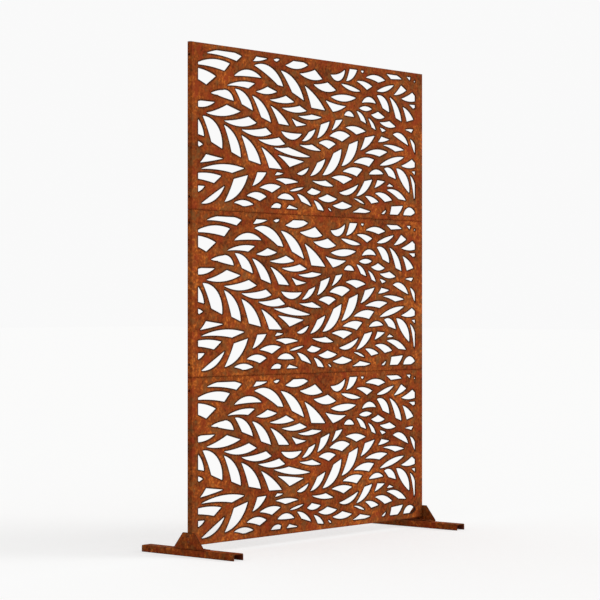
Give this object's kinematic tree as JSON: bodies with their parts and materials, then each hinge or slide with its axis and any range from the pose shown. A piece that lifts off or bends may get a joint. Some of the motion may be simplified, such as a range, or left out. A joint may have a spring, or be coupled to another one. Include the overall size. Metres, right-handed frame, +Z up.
{
  "type": "laser cut metal screen",
  "caption": "Free-standing garden screen of stacked, folded steel panels with leaf-shaped cut-outs, bolted together and held upright by brackets on channel feet.",
  "frame": {"origin": "on the floor, under the middle of the screen and of its feet", "axes": "+X along the screen to the right as seen from the cut face, +Y to the back, away from the cut face, +Z up"},
  "size_m": [1.2118, 0.4, 1.623],
  "materials": {
    "rusted_sheet": "weathering steel with a mottled orange-brown rust patina",
    "rusted_mounts": "weathering steel with a mottled orange-brown rust patina",
    "bolts": "weathering steel, rusted red-brown",
    "washers": "weathering steel, rusted red-brown",
    "nuts": "weathering steel, rusted red-brown"
  },
  "bodies": {
    "root": {"top_panel": "rusted_sheet", "middle_panel": "rusted_sheet", "bottom_panel": "rusted_sheet", "upper_seam_bolts": "bolts", "upper_seam_washers": "washers", "upper_seam_nuts": "nuts", "lower_seam_bolts": "bolts", "lower_seam_washers": "washers", "lower_seam_nuts": "nuts", "left_bracket": "rusted_mounts", "right_bracket": "rusted_mounts", "left_foot": "rusted_mounts", "right_foot": "rusted_mounts", "left_panel_bolts": "bolts", "left_panel_washers": "washers", "left_panel_nuts": "nuts", "right_panel_bolts": "bolts", "right_panel_washers": "washers", "right_panel_nuts": "nuts", "left_foot_bolts": "bolts", "left_foot_washers": "washers", "left_foot_nuts": "nuts", "right_foot_bolts": "bolts", "right_foot_washers": "washers", "right_foot_nuts": "nuts"}
  },
  "joints": []
}
